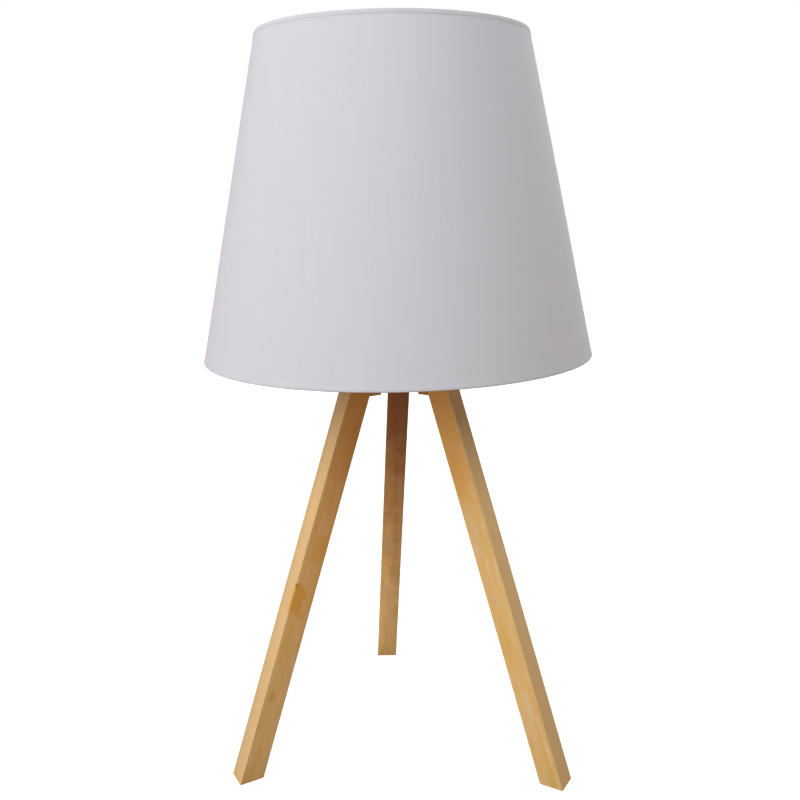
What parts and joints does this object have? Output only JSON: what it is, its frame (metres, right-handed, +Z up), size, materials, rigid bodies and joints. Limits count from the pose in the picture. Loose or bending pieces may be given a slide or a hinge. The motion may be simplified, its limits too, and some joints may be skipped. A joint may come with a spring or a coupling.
{
  "type": "tripod table lamp",
  "caption": "Table lamp with a tapered drum shade of pale linen on a tripod of splayed square wooden legs.",
  "frame": {"origin": "on the lamp's axis at the floor, under the middle of the shade", "axes": "+Z up the lamp's axis, +Y towards the rear leg's foot"},
  "size_m": [0.25, 0.25, 0.47],
  "materials": {
    "wood": "clear satin lacquer",
    "linen": "fine plain weave",
    "liner": "smooth matt film",
    "white_wire": "white powder coat",
    "white_plastic": "satin moulded",
    "grey_plastic": "matt moulded",
    "black_plastic": "glossy",
    "ceramic": "unglazed",
    "brass": "bright",
    "steel": "bright zinc",
    "frosted": "frosted"
  },
  "bodies": {
    "stand": {"leg_rear": "wood", "leg_front_left": "wood", "leg_front_right": "wood", "hub_block": "wood", "insert_nuts": "brass", "leg_bolts": "steel", "leg_bolt_washers": "steel", "threaded_tube": "steel", "tube_nuts": "steel", "tube_washers": "steel", "cord_outlet_bush": "grey_plastic", "lampholder_cap": "white_plastic", "cap_lock_screw": "steel", "lampholder_skirt": "white_plastic", "contact_block": "ceramic", "centre_contact": "brass", "side_contact": "brass", "terminal_screws": "steel", "screw_shell": "brass"},
    "shade_ring": {"shade_ring": "white_plastic"},
    "shade": {"fitter_ring": "white_wire", "fitter_arms": "white_wire", "bottom_wire_ring": "white_wire", "top_wire_ring": "white_wire", "shade_liner": "liner", "shade_fabric": "linen", "bottom_binding": "linen", "top_binding": "linen"},
    "bulb": {"bulb_tip": "steel", "bulb_insulator": "black_plastic", "bulb_cap": "steel", "bulb_housing": "white_plastic", "bulb_board": "white_plastic", "bulb_envelope": "frosted"}
  },
  "joints": [
    {"name": "shade_ring_lift", "type": "slide", "parent": "stand", "child": "shade_ring", "axis": [0, 0, 1], "range_m": [0, 0.11]},
    {"name": "shade_turn", "type": "hinge", "parent": "shade_ring", "child": "shade", "pos_m": [0, 0, 0.32], "axis": [0, 0, 1], "continuous": true},
    {"name": "bulb_withdraw", "type": "slide", "parent": "stand", "child": "bulb", "axis": [0, 0, 1], "range_m": [0, 0.15]}
  ]
}
